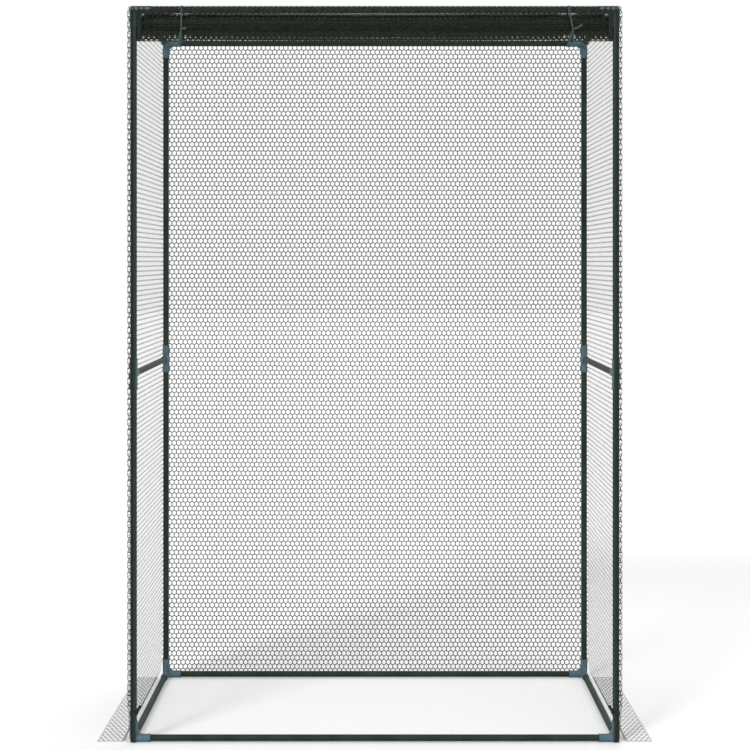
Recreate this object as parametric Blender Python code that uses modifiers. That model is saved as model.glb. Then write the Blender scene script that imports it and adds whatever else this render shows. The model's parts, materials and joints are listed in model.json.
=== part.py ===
"""Fruit cage: a tube frame in plastic connectors, a net cover and a roll-up front door.

Metres, +Z up. The origin is on the ground under the middle of the cage. The door is on the -Y side.
The net's hexagons are drawn coarser than the real 13 mm mesh, so that each net is one light solid.
"""

import math

import bmesh
import bpy
from mathutils import Matrix, Vector

# Sizes of the whole cage, over its corner connectors
cage_width = 1.200
cage_depth = 0.600
cage_height = 1.800

# Tubes
tube_diameter = 0.016
tube_wall = 0.0007

# Connectors
sleeve_diameter = 0.020
sleeve_reach = 0.042  # from the corner's centre to a sleeve's mouth
socket_floor = 0.012  # from the corner's centre to the bottom of a socket
tee_height = 0.076
tee_stop = 0.008  # solid plug between a tee's two upright sockets
web_radius = 0.014  # hollow fillet between two sleeves
web_thickness = 0.010
web_sink = 0.0006  # how far the fillet dips into the sleeves, so that they join cleanly
corner_ball_diameter = 0.0196

# Nets
net_thickness = 0.0015
net_hem = 0.012
mesh_pitch = 0.160
mesh_web = 0.008
net_foot_lift = 0.003  # the back net stops this far above the ground
flare_height = 0.045  # the foot of each side net leaves the rail over this height
flare_reach = 0.0165
flare_lift = 0.001
skirt_width = 0.0565
skirt_length_inset = 0.001

# Rolled door
roll_radius = 0.0355
roll_core_radius = 0.006
roll_turns = 5
roll_thickness = 0.002
roll_points_per_turn = 16
roll_end_clearance = 0.002

# Door ties
tie_width = 0.006
tie_thickness = 0.001
tie_inset = 0.1145  # from a post's centre line to a tie
tie_step = math.radians(15)
tie_end_angle = math.radians(165)  # round the top rail, from its back
knot_width = 0.009
knot_height = 0.011
knot_thickness = 0.003
knot_drop = 0.049  # from the top rail's centre line to the knot's middle
tail_width = 0.007
long_tail_drop = 0.036
long_tail_out = 0.006
short_tail_rise = 0.012
short_tail_out = 0.022

# Zips
zip_tape_width = 0.015  # with its chain
zip_tape_thickness = 0.0012
zip_chain_width = 0.0035
zip_chain_thickness = 0.0024
zip_foot_lift = 0.002
slider_height = 0.009
slider_plate = 0.0014
slider_web = 0.0012
slider_back_reach = 0.0026  # the plate behind the tape is cut short at the post, to pass the tees
slider_rest_height = 0.076  # middle of the slider above the ground
lug_radius = 0.0021
lug_width = 0.0024
lug_bore_radius = 0.0012
pull_length = 0.020
pull_width = 0.0056
pull_thickness = 0.0010
pull_lean = math.radians(33)
pull_eye_length = 0.0042
pull_bar = 0.0013

# Fits
seat_gap = 0.0003  # between pieces that touch
socket_clearance = 0.0003  # between a tube and its socket, all round
roll_clearance = 0.0006  # between the roll and the sleeves above it
cut_overrun = 0.004
weld_distance = 1e-6
round_sides = 12
ball_rings = 8
lug_sides = 16
lug_steps = 8
fillet_steps = 6
smooth_angle = math.radians(40)

# Places worked out from the sizes above
half_step = math.pi / round_sides
tube_radius = tube_diameter / 2
sleeve_radius = sleeve_diameter / 2
post_x = cage_width / 2 - sleeve_radius
bottom_z = sleeve_radius
top_z = cage_height - sleeve_radius
middle_z = (bottom_z + top_z) / 2
half_depth = cage_depth / 2 - sleeve_radius
net_offset = sleeve_radius + seat_gap  # from a tube's centre line to the near face of a net

# Zip and pull, measured forward from the front posts' centre line
tape_back = net_offset
chain_front = tape_back + zip_chain_thickness
slider_front = chain_front + seat_gap + slider_plate
pull_pivot_front = slider_front + lug_radius
front_reach = half_depth + pull_pivot_front + lug_radius
back_reach = half_depth + net_offset + net_thickness
frame_y = (front_reach - back_reach) / 2
front_y = frame_y - half_depth
back_y = frame_y + half_depth

# Rolled door: tucked behind the net's plane, clear of the top rail's sleeves
net_front_y = front_y - net_offset
roll_y = net_front_y + seat_gap + roll_radius
roll_to_rail = roll_radius + sleeve_radius / math.cos(half_step) + roll_clearance
roll_z = top_z - math.sqrt(roll_to_rail**2 - (roll_y - front_y) ** 2)
roll_half_length = post_x - sleeve_radius - web_radius - roll_end_clearance

# Zips: the chain runs along the inner edge of each tape
tape_edge_x = post_x - zip_tape_width / 2
slider_channel = zip_chain_width + 2 * seat_gap
slider_x = tape_edge_x - seat_gap - slider_web / 2

# Skirt
net_side_x = post_x + net_offset
flare_end_x = net_side_x + flare_reach
skirt_pivot_x = flare_end_x + net_thickness


def srgb_to_linear(value):
    return value / 12.92 if value <= 0.04045 else ((value + 0.055) / 1.055) ** 2.4


def make_material(name, hex_colour, roughness, metallic=0.0):
    """A plain surface; the colour is a hex string such as '31453a'."""
    material = bpy.data.materials.new(name)
    material.use_nodes = True
    shader = material.node_tree.nodes["Principled BSDF"]
    channels = [int(hex_colour[i : i + 2], 16) / 255 for i in (0, 2, 4)]
    colour = [srgb_to_linear(channel) for channel in channels]
    shader.inputs["Base Color"].default_value = (*colour, 1.0)
    shader.inputs["Roughness"].default_value = roughness
    shader.inputs["Metallic"].default_value = metallic
    material.diffuse_color = (*colour, 1.0)
    return material


def clear_scene():
    for old in list(bpy.data.objects):
        bpy.data.objects.remove(old, do_unlink=True)


def add_object(name, data, collection):
    made = bpy.data.objects.new(name, data)
    collection.objects.link(made)
    return made


def solid_mesh(source, name):
    """The evaluated mesh of an object, with its caps welded, in the object's own space."""
    graph = bpy.context.evaluated_depsgraph_get()
    mesh = bpy.data.meshes.new_from_object(source.evaluated_get(graph))
    mesh.name = name
    shape = bmesh.new()
    shape.from_mesh(mesh)
    bmesh.ops.remove_doubles(shape, verts=shape.verts, dist=weld_distance)
    bmesh.ops.recalc_face_normals(shape, faces=shape.faces)
    shape.to_mesh(mesh)
    shape.free()
    return mesh


def discard(*helpers):
    for helper in helpers:
        bpy.data.objects.remove(helper, do_unlink=True)


def combine(base, others, operation):
    """A helper object holding the base joined with, or cut by, the others, which are used up."""
    base_matrix = base.matrix_world.copy()
    for other in others:
        modifier = base.modifiers.new(other.name, "BOOLEAN")
        modifier.operation = operation
        modifier.solver = "EXACT"
        modifier.object = other
    bpy.context.view_layer.update()
    joined = add_object(base.name, solid_mesh(base, base.name), workshop)
    joined.matrix_world = base_matrix
    discard(base, *others)
    bpy.context.view_layer.update()
    return joined


def axis_matrix(axis):
    """Turns a shape that runs along +Z so that it runs along the given direction."""
    return Vector((0, 0, 1)).rotation_difference(Vector(axis)).to_matrix().to_4x4()


def rod(name, radius, low, high, axis=(0, 0, 1), sides=round_sides):
    """A round bar between two distances along an axis through the origin, its flats facing X, Y, Z."""
    shape = bmesh.new()
    corner_radius = radius / math.cos(math.pi / sides)
    bmesh.ops.create_cone(
        shape, cap_ends=True, segments=sides, radius1=corner_radius, radius2=corner_radius, depth=high - low
    )
    turn = Matrix.Rotation(math.pi / sides, 4, "Z")
    lift = Matrix.Translation((0, 0, (low + high) / 2))
    shape.transform(axis_matrix(axis) @ lift @ turn)
    mesh = bpy.data.meshes.new(name)
    shape.to_mesh(mesh)
    shape.free()
    return add_object(name, mesh, workshop)


def block(name, low, high):
    """A box between two corners."""
    low, high = Vector(low), Vector(high)
    shape = bmesh.new()
    bmesh.ops.create_cube(shape, size=1)
    size = Matrix.Diagonal((*(high - low), 1))
    shape.transform(Matrix.Translation((low + high) / 2) @ size)
    mesh = bpy.data.meshes.new(name)
    shape.to_mesh(mesh)
    shape.free()
    return add_object(name, mesh, workshop)


def plate(name, points, thickness, across="Z", middle=0):
    """A flat outline with a thickness, lying across an axis: its points are (x, y), (x, z) or (y, z)."""
    curve = bpy.data.curves.new(name, "CURVE")
    curve.dimensions = "2D"
    curve.fill_mode = "BOTH"
    curve.extrude = thickness / 2
    spline = curve.splines.new("POLY")
    spline.points.add(len(points) - 1)
    for point, place in zip(spline.points, points):
        point.co = (*place, 0, 1)
    spline.use_cyclic_u = True
    drawn = add_object(name, curve, workshop)
    bpy.context.view_layer.update()
    made = add_object(name, solid_mesh(drawn, name), workshop)
    discard(drawn)
    columns = {
        "Z": ((1, 0, 0), (0, 1, 0), (0, 0, 1)),
        "Y": ((1, 0, 0), (0, 0, 1), (0, -1, 0)),
        "X": ((0, 1, 0), (0, 0, 1), (1, 0, 0)),
    }[across]
    turn = Matrix(columns).transposed().to_4x4()
    shift = Vector([middle if axis == across else 0 for axis in "XYZ"])
    made.data.transform(Matrix.Translation(shift) @ turn)
    return made


def ribbon_outline(path, thickness):
    """The closed outline of a strap that follows a path of 2D points."""
    sides = ([], [])
    for i, point in enumerate(path):
        before = Vector(path[max(i - 1, 0)])
        after = Vector(path[min(i + 1, len(path) - 1)])
        along = (after - before).normalized()
        across = Vector((-along.y, along.x)) * thickness / 2
        sides[0].append(Vector(point) + across)
        sides[1].append(Vector(point) - across)
    return [tuple(p) for p in sides[0] + sides[1][::-1]]


def place(made, name, material, location=(0, 0, 0), mirror=(1, 1, 1), parent=None):
    """Moves a finished shape into the cage's collection as a named piece."""
    mesh = made if isinstance(made, bpy.types.Mesh) else made.data
    if not isinstance(made, bpy.types.Mesh):
        mesh = mesh.copy()
        mesh.transform(made.matrix_world)
        discard(made)
    mesh.name = name
    if not mesh.materials:
        mesh.materials.append(material)
    mesh.shade_smooth()
    mesh.set_sharp_from_angle(angle=smooth_angle)
    piece = add_object(name, mesh, cage)
    piece.location = location
    piece.scale = mirror
    if parent:
        piece.parent = parent
        piece.location = Vector(location) - parent.location
    return piece


def pivot(name, location):
    """An empty on a joint's axis."""
    marker = add_object(name, None, cage)
    marker.empty_display_size = sleeve_diameter
    marker.location = location
    bpy.context.view_layer.update()
    return marker


def fillet_outline():
    """The hollow fillet between two sleeves, with its root inside them."""
    root = sleeve_radius / 2
    centre = sleeve_radius + web_radius - web_sink
    arc = [math.pi + math.pi / 2 * i / fillet_steps for i in range(fillet_steps + 1)]
    hollow = [(centre + web_radius * math.cos(a), centre + web_radius * math.sin(a)) for a in arc]
    return [(root, root), (root, centre)] + hollow + [(centre, root)]


def corner_mesh():
    """A three-way connector: sleeves along +X, +Y and +Z with hollow fillets between them."""
    ball = bmesh.new()
    bmesh.ops.create_uvsphere(
        ball, u_segments=round_sides, v_segments=ball_rings, radius=corner_ball_diameter / 2
    )
    ball_mesh = bpy.data.meshes.new("corner_ball")
    ball.to_mesh(ball_mesh)
    ball.free()
    body = add_object("corner_body", ball_mesh, workshop)
    axes = ((1, 0, 0), (0, 1, 0), (0, 0, 1))
    sleeves = [rod(f"sleeve_{i}", sleeve_radius, 0, sleeve_reach, axis) for i, axis in enumerate(axes)]
    webs = [plate(f"web_{axis}", fillet_outline(), web_thickness, axis) for axis in "XYZ"]
    body = combine(body, sleeves + webs, "UNION")
    socket_radius = tube_radius + socket_clearance
    mouth = sleeve_reach + cut_overrun
    sockets = [rod(f"socket_{i}", socket_radius, socket_floor, mouth, axis) for i, axis in enumerate(axes)]
    body = combine(body, sockets, "DIFFERENCE")
    mesh = body.data.copy()
    discard(body)
    return mesh


def tee_mesh():
    """A tee connector: an upright sleeve with a stub along +Y."""
    upright = rod("tee_upright", sleeve_radius, -tee_height / 2, tee_height / 2)
    stub = rod("tee_stub", sleeve_radius, 0, sleeve_reach, (0, 1, 0))
    body = combine(upright, [stub], "UNION")
    socket_radius = tube_radius + socket_clearance
    end = tee_height / 2 + cut_overrun
    sockets = [
        rod("tee_socket_up", socket_radius, tee_stop / 2, end),
        rod("tee_socket_down", socket_radius, -end, -tee_stop / 2),
        rod("tee_socket_side", socket_radius, socket_floor, sleeve_reach + cut_overrun, (0, 1, 0)),
    ]
    body = combine(body, sockets, "DIFFERENCE")
    mesh = body.data.copy()
    discard(body)
    return mesh


def add_connectors():
    corner, tee = corner_mesh(), tee_mesh()
    for depth, y, inward in (("front", front_y, 1), ("back", back_y, -1)):
        for hand, side in (("left", -1), ("right", 1)):
            place(tee, f"tee_{depth}_{hand}", plastic, (side * post_x, y, middle_z), (1, inward, 1))
            for level, z, up in (("bottom", bottom_z, 1), ("top", top_z, -1)):
                name = f"corner_{level}_{depth}_{hand}"
                place(corner, name, plastic, (side * post_x, y, z), (-side, inward, up))


def tube(name, low, high, axis, location):
    """A hollow tube along an axis, between two distances from the location."""
    outer = tube_radius / math.cos(half_step)
    inner = (tube_radius - tube_wall) / math.cos(half_step)
    profile = [(outer, high), (outer, low), (inner, low), (inner, high)]
    mesh = bpy.data.meshes.new(name)
    points = [(r * math.cos(half_step), r * math.sin(half_step), z) for r, z in profile]
    mesh.from_pydata(points, [(i, (i + 1) % len(points)) for i in range(len(points))], [])
    turned = add_object(name, mesh, workshop)
    screw = turned.modifiers.new("turned", "SCREW")
    screw.angle = math.tau
    screw.steps = screw.render_steps = round_sides
    screw.use_merge_vertices = True
    screw.merge_threshold = weld_distance
    bpy.context.view_layer.update()
    made = add_object(name, solid_mesh(turned, name), workshop)
    discard(turned)
    made.data.transform(axis_matrix(axis))
    place(made, name, steel, location)


def add_tubes():
    from_corner = socket_floor + seat_gap
    from_tee = tee_stop / 2 + seat_gap
    for depth, y in (("front", front_y), ("back", back_y)):
        for level, z in (("bottom", bottom_z), ("top", top_z)):
            end = post_x - from_corner
            tube(f"{level}_rail_{depth}", -end, end, (1, 0, 0), (0, y, z))
        for hand, side in (("left", -1), ("right", 1)):
            post = (side * post_x, y, middle_z)
            half = middle_z - bottom_z - from_corner
            tube(f"post_{depth}_{hand}_lower", -half, -from_tee, (0, 0, 1), post)
            tube(f"post_{depth}_{hand}_upper", from_tee, half, (0, 0, 1), post)
    for hand, side in (("left", -1), ("right", 1)):
        end = half_depth - from_corner
        for level, z in (("bottom", bottom_z), ("middle", middle_z), ("top", top_z)):
            tube(f"{level}_rail_{hand}", -end, end, (0, 1, 0), (side * post_x, frame_y, z))


def hex_cutters(low, high):
    """Staggered hexagonal holes that fill a rectangle in XY and stop at its sides, as one cutter."""
    width, height = high[0] - low[0], high[1] - low[1]
    columns = max(1, round(width / mesh_pitch))
    rows = max(1, round(height / mesh_pitch))
    pitch = width / columns
    slant_web = mesh_web * 2 / math.sqrt(3)
    single = rows == 1
    row_pitch = (height + slant_web) * 3 / 4 if single else height / rows
    first_y = (low[1] + high[1]) / 2 if single else low[1]
    reach_x = (pitch - mesh_web) / math.sqrt(3)
    reach_y = (4 / 3 * row_pitch - slant_web) / 2
    depth = net_thickness + 2 * cut_overrun
    holes = bmesh.new()
    for row in range(1 if single else rows + 1):
        offset = 0.5 * (1 - row % 2)
        for column in range(columns + row % 2):
            x = low[0] + (column + offset) * pitch
            spot = Matrix.Translation((x, first_y + row * row_pitch, 0))
            stretch = Matrix.Diagonal((reach_x, reach_y, 1, 1))
            bmesh.ops.create_cone(
                holes, cap_ends=True, segments=6, radius1=1, radius2=1, depth=depth, matrix=spot @ stretch
            )
    mesh = bpy.data.meshes.new("holes")
    holes.to_mesh(mesh)
    holes.free()
    inside = block("inside", (*low, -depth), (*high, depth))
    return combine(add_object("holes", mesh, workshop), [inside], "INTERSECT")


def net_mesh(width, height):
    """A flat net with a hem, centred on the origin in XY."""
    half = Vector((width, height)) / 2
    edge = Vector((net_hem, net_hem))
    sheet = block("sheet", (*-half, -net_thickness / 2), (*half, net_thickness / 2))
    netted = combine(sheet, [hex_cutters(edge - half, half - edge)], "DIFFERENCE")
    mesh = netted.data.copy()
    discard(netted)
    return mesh


def add_nets():
    outer_x = net_side_x + net_thickness
    front_edge = net_front_y - net_thickness
    back_inner = back_y + net_offset
    back_outer = back_inner + net_thickness
    roof_z = cage_height + seat_gap
    middle_y = (front_edge + back_outer) / 2
    face_y = Matrix(((1, 0, 0, 0), (0, 0, -1, 0), (0, 1, 0, 0), (0, 0, 0, 1)))
    face_x = Matrix(((0, 0, 1, 0), (1, 0, 0, 0), (0, 1, 0, 0), (0, 0, 0, 1)))
    wall_top = roof_z - seat_gap

    roof = net_mesh(2 * outer_x, back_outer - front_edge)
    place(roof, "net_roof", netting, (0, middle_y, roof_z + net_thickness / 2))

    back = net_mesh(2 * outer_x, wall_top - net_foot_lift)
    back.transform(face_y)
    place(back, "net_back", netting, (0, back_inner + net_thickness / 2, (wall_top + net_foot_lift) / 2))

    side_back = back_inner - seat_gap
    side_foot = flare_height + seat_gap
    side_net = net_mesh(side_back - front_edge, wall_top - side_foot)
    side_net.transform(face_x)
    side_place = Vector((net_side_x + net_thickness / 2, (front_edge + side_back) / 2, 0))
    side_place.z = (wall_top + side_foot) / 2
    for hand, side in (("left", -1), ("right", 1)):
        spot = (side * side_place.x, side_place.y, side_place.z)
        place(side_net, f"net_{hand}", netting, spot, (side, 1, 1))

    door_top = wall_top
    door_half = tape_edge_x - seat_gap
    door = net_mesh(2 * door_half, door_top - roll_z)
    door.transform(face_y)
    door_place = (0, net_front_y - net_thickness / 2, (door_top + roll_z) / 2)
    place(door, "door_net", netting, door_place)


def add_skirts():
    """At each side a flared foot, and a skirt on the ground that folds up on the foot's edge."""
    length = 2 * half_depth + 2 * sleeve_radius - 2 * skirt_length_inset
    flare = [
        (net_side_x, flare_height),
        (net_side_x + net_thickness, flare_height),
        (flare_end_x, flare_lift + net_thickness / 2),
        (flare_end_x, flare_lift),
        (flare_end_x - net_thickness, flare_lift),
    ]
    foot = plate("flare", flare, length, "Y").data.copy()
    skirt = net_mesh(skirt_width, length)
    for hand, side in (("left", -1), ("right", 1)):
        place(foot, f"hem_{hand}", netting, (0, frame_y, 0), (side, 1, 1))
        hinge = pivot(f"skirt_hinge_{hand}", (side * skirt_pivot_x, frame_y, net_thickness / 2))
        middle = skirt_pivot_x - net_thickness / 2 + skirt_width / 2
        spot = (side * middle, frame_y, net_thickness / 2)
        place(skirt, f"skirt_{hand}", netting, spot, (side, 1, 1), hinge)


def add_roll():
    """The door net wound into a roll, as one spiral band that never touches itself."""
    pitch = (roll_radius - roll_thickness - roll_core_radius) / roll_turns
    count = roll_turns * roll_points_per_turn
    reach = roll_core_radius + roll_thickness / 2
    outer = roll_radius - roll_thickness / 2
    path = []
    for i in range(count + 1):
        angle = math.tau * i / roll_points_per_turn
        radius = reach + (outer - reach) * i / count
        path.append((-radius * math.cos(angle), -radius * math.sin(angle)))
    print(f"roll: least gap between turns {1000 * (pitch - roll_thickness):.2f} mm")
    roll = plate("roll", ribbon_outline(path, roll_thickness), 2 * roll_half_length, "X")
    place(roll, "door_roll", netting, (0, roll_y, roll_z))


def steps_between(start, end):
    """Angles from start to end, a tie's step or less apart."""
    count = math.ceil((end - start) / tie_step)
    return [start + (end - start) * i / count for i in range(count + 1)]


def tie_path():
    """From the door's top edge down the front of the roll, under it and up, and over the top rail."""
    start_z = cage_height - seat_gap
    outside = net_front_y - net_thickness - seat_gap - tie_thickness / 2
    front = roll_y - outside
    under = roll_radius + seat_gap + tie_thickness / 2
    rail_loop = tube_radius / math.cos(half_step) + seat_gap + tie_thickness / 2
    to_rail = Vector((front_y - roll_y, top_z - roll_z))
    leave = math.atan2(to_rail.y, to_rail.x) - math.acos((under - rail_loop) / to_rail.length)
    path = [(outside, start_z)]
    for angle in steps_between(math.pi, math.tau + leave):
        radius = under + (front - under) * max(0, -math.cos(angle)) ** 4
        path.append((roll_y + radius * math.cos(angle), roll_z + radius * math.sin(angle)))
    for angle in steps_between(leave, tie_end_angle):
        path.append((front_y + rail_loop * math.cos(angle), top_z + rail_loop * math.sin(angle)))
    return path


def add_ties():
    tie_x = post_x - tie_inset
    strap = plate("tie", ribbon_outline(tie_path(), tie_thickness), tie_width, "X").data.copy()
    knot_back = net_front_y - net_thickness - tie_thickness - 2 * seat_gap
    half_w, half_h, half_t = knot_width / 2, knot_height / 2, tail_width / 2
    knot = [
        (-half_w, half_h),
        (-half_w, -half_h),
        (-half_w - long_tail_out, -long_tail_drop),
        (-half_w - long_tail_out + tail_width, -long_tail_drop),
        (half_w, -half_h),
        (short_tail_out, short_tail_rise - half_t),
        (short_tail_out, short_tail_rise + half_t),
        (half_w, half_h),
    ]
    bow = plate("knot", knot, knot_thickness, "Y").data.copy()
    for hand, side in (("left", -1), ("right", 1)):
        place(strap, f"tie_{hand}", webbing, (side * tie_x, 0, 0))
        spot = (side * tie_x, knot_back - knot_thickness / 2, top_z - knot_drop)
        place(bow, f"tie_knot_{hand}", webbing, spot)


def zip_mesh():
    """A tape with a raised chain along its inner edge, in plan: +X is towards the door's middle."""
    outline = [
        (-zip_tape_width / 2, 0),
        (zip_tape_width / 2, 0),
        (zip_tape_width / 2, -zip_chain_thickness),
        (zip_tape_width / 2 - zip_chain_width, -zip_chain_thickness),
        (zip_tape_width / 2 - zip_chain_width, -zip_tape_thickness),
        (-zip_tape_width / 2, -zip_tape_thickness),
    ]
    height = cage_height - seat_gap - zip_foot_lift
    return plate("zip", outline, height, "Z", zip_foot_lift + height / 2).data.copy()


def slider_mesh():
    """Two plates joined by a web between the chain's channel and the door's, with a lug in front.

    The origin is the middle of the web, level with the tape's back face.
    """
    half_w, half_h = slider_channel + slider_web / 2, slider_height / 2
    channel_front = -zip_chain_thickness - seat_gap
    face_front = channel_front - slider_plate
    body = block("slider", (-half_w, face_front, -half_h), (half_w, channel_front, half_h))
    back = block("back", (-slider_back_reach, seat_gap, -half_h), (half_w, seat_gap + slider_plate, half_h))
    web_low = (-slider_web / 2, channel_front - slider_plate / 2, slider_plate - half_h)
    web_high = (slider_web / 2, seat_gap + slider_plate / 2, half_h - slider_plate)
    body = combine(body, [block("web", web_low, web_high), back], "UNION")
    pivot_y = face_front - lug_radius
    nose = [math.pi / 2 + math.pi * i / lug_steps for i in range(lug_steps + 1)]
    lug_outline = [(pivot_y + lug_radius * math.cos(a), lug_radius * math.sin(a)) for a in nose]
    root_y = face_front + slider_plate / 2
    lug = plate("lug", lug_outline + [(root_y, -lug_radius), (root_y, lug_radius)], lug_width, "X")
    body = combine(body, [lug], "UNION")
    bore = rod("lug_bore", lug_bore_radius, -lug_width, lug_width, (1, 0, 0), lug_sides)
    bore.data.transform(Matrix.Translation((0, pivot_y, 0)))
    body = combine(body, [bore], "DIFFERENCE")
    mesh = body.data.copy()
    discard(body)
    return mesh


def pull_mesh():
    """A flat tab with an eye: its lower bar turns in the slider's lug, and its blade leans inwards."""
    half_w = pull_width / 2
    low = -pull_bar / 2
    eye_top = low + pull_eye_length + pull_bar
    lean = Vector((math.sin(pull_lean), math.cos(pull_lean)))
    tip = lean * pull_length
    side = Vector((lean.y, -lean.x)) * half_w
    outline = [
        (-half_w, low),
        (half_w, low),
        (half_w, eye_top - pull_bar),
        tuple(tip + side - lean * half_w / 2),
        tuple(tip + side / 2),
        tuple(tip - side / 2),
        tuple(tip - side - lean * half_w / 2),
        (-half_w, eye_top),
    ]
    tab = plate("pull", outline, pull_thickness, "Y")
    window_half = lug_width / 2 + seat_gap
    window_low = (-window_half, -pull_thickness, pull_bar / 2)
    window_high = (window_half, pull_thickness, pull_bar / 2 + pull_eye_length - pull_bar)
    window = block("pull_window", window_low, window_high)
    tab = combine(tab, [window], "DIFFERENCE")
    mesh = tab.data.copy()
    discard(tab)
    return mesh


def add_zips():
    tape, slider, pull = zip_mesh(), slider_mesh(), pull_mesh()
    pull_y = front_y - pull_pivot_front
    for hand, side in (("left", -1), ("right", 1)):
        mirror = (-side, 1, 1)
        place(tape, f"zip_tape_{hand}", webbing, (side * post_x, net_front_y, 0), mirror)
        spot = (side * slider_x, net_front_y, slider_rest_height)
        place(slider, f"zip_slider_{hand}", black_plastic, spot, mirror)
        hinge = pivot(f"pull_hinge_{hand}", (side * slider_x, pull_y, slider_rest_height))
        place(pull, f"zip_pull_{hand}", black_plastic, hinge.location, mirror, hinge)


clear_scene()
cage = bpy.data.collections.new("fruit cage")
workshop = bpy.data.collections.new("workshop")
bpy.context.scene.collection.children.link(cage)
bpy.context.scene.collection.children.link(workshop)

steel = make_material("green powder-coated steel", "31413a", 0.35)
plastic = make_material("blue-grey moulded plastic", "5e767d", 0.5)
netting = make_material("dark green net", "28301f", 0.6)
webbing = make_material("dark green webbing", "2c3731", 0.8)
black_plastic = make_material("black moulded plastic", "16191a", 0.45)

add_tubes()
add_connectors()
add_nets()
add_skirts()
add_roll()
add_ties()
add_zips()
bpy.data.collections.remove(workshop)
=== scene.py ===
# Fruit cage: green steel tubes in blue-grey connectors under a fine net, its door rolled up over the doorway

import json
import math

import bmesh
import bpy
import numpy as np
from mathutils import Matrix, Vector
from mathutils.geometry import interpolate_bezier


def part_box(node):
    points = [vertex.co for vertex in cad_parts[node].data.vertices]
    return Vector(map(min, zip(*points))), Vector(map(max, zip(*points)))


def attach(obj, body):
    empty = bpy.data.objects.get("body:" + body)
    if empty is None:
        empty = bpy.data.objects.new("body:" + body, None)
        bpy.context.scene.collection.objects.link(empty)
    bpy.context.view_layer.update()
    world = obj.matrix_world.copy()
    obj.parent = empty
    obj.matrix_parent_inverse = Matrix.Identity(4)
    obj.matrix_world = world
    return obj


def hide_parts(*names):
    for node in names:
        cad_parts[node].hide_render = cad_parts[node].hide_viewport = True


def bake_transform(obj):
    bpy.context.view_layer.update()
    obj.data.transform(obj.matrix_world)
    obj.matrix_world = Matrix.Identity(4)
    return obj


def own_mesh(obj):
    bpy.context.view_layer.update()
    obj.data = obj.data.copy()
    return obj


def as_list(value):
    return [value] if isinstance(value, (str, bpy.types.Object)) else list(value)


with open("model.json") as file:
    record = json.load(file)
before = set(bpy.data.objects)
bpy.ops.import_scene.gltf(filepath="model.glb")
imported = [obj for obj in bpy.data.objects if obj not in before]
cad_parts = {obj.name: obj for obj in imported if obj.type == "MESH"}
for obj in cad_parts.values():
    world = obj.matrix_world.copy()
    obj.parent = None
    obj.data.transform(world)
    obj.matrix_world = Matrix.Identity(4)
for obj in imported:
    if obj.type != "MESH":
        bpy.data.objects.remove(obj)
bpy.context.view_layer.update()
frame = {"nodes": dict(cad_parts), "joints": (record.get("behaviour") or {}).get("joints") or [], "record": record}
scene = bpy.context.scene
print("frame loaded:", len(frame["nodes"]), "nodes")

mm = 0.001
sides = {"left": -1, "right": 1}


def middleOf(node):
    low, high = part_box(node)
    return (low + high) / 2


# The tubes' centre lines
postX, frontY = middleOf("post_front_right_lower").xy
backY = middleOf("post_back_right_lower").y
bottomZ = middleOf("bottom_rail_front").z
middleZ = middleOf("middle_rail_left").z
topZ = middleOf("top_rail_front").z


def addObject(name, data):
    made = bpy.data.objects.new(name, data)
    scene.collection.objects.link(made)
    return made


# The camera stands level in front of the door and is shifted down to the ground
photoView = {"place": (0.0044, -4.0426, 1.1785), "lens": 73.7, "shift": (-0.0021, -0.1533)}
camera = addObject("camera", bpy.data.cameras.new("camera"))
camera.data.lens = photoView["lens"]
camera.data.shift_x, camera.data.shift_y = photoView["shift"]
camera.location = photoView["place"]
camera.rotation_euler = (math.radians(90), 0, 0)
scene.camera = camera
scene.view_settings.view_transform = "Standard"
print("camera placed")


def linear(code):
    # an sRGB hex colour as linear red, green, blue and alpha
    channels = [int(code[i : i + 2], 16) / 255 for i in (0, 2, 4)]
    return [c / 12.92 if c <= 0.04045 else ((c + 0.055) / 1.055) ** 2.4 for c in channels] + [1.0]


def withSettings(thing, **settings):
    for name, value in settings.items():
        setattr(thing, name, value)
    return thing


def addNode(material, kind, inputs=None, stops=None, **settings):
    node = withSettings(material.node_tree.nodes.new("ShaderNode" + kind), **settings)
    for socket, value in (inputs or {}).items():
        if isinstance(value, bpy.types.NodeSocket):
            material.node_tree.links.new(value, node.inputs[socket])
        else:
            node.inputs[socket].default_value = value
    for element, (position, colour) in zip(node.color_ramp.elements if stops else [], stops or []):
        element.position = position
        element.color = colour
    return node


def newMaterial(name, finish):
    # finish holds the shader's own values; returns the material, its shader and object coordinates in metres
    material = bpy.data.materials.new(name)
    material.use_nodes = True
    shader = material.node_tree.nodes["Principled BSDF"]
    for socket, value in finish.items():
        shader.inputs[socket].default_value = value
    place = addNode(material, "TexCoord").outputs["Object"]
    return material, shader, place


toneStops = {"dark": 0.3, "light": 0.7}  # where along the texture each tone is pure


def dressed(material, shader, look, tone, height):
    # the colour wanders between the look's two close tones, and the height raises the skin
    stops = [(stop, linear(look[end])) for end, stop in toneStops.items()]
    colour = addNode(material, "ValToRGB", {"Fac": tone}, stops).outputs["Color"]
    relief = {"Height": height, "Distance": look["relief"], "Strength": look["strength"]}
    found = {"Base Color": colour, "Normal": addNode(material, "Bump", relief).outputs["Normal"]}
    if "roughness" in look:
        gloss = addNode(material, "MapRange", {"Value": tone, **look["roughness"]})
        found["Roughness"] = gloss.outputs["Result"]
    for socket, output in found.items():
        material.node_tree.links.new(output, shader.inputs[socket])
    return material


def texturedMaterial(name, look):
    # the first texture moves the tone and the last one the skin; each has its kind, size, output and settings
    material, shader, place = newMaterial(name, look["finish"])
    outputs = []
    for kind, size, output, inputs, settings in look["textures"]:
        texture = addNode(material, kind, {"Vector": place, "Scale": 1 / size, **inputs}, **settings)
        outputs.append(texture.outputs[output])
    return dressed(material, shader, look, outputs[0], outputs[-1])


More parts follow.
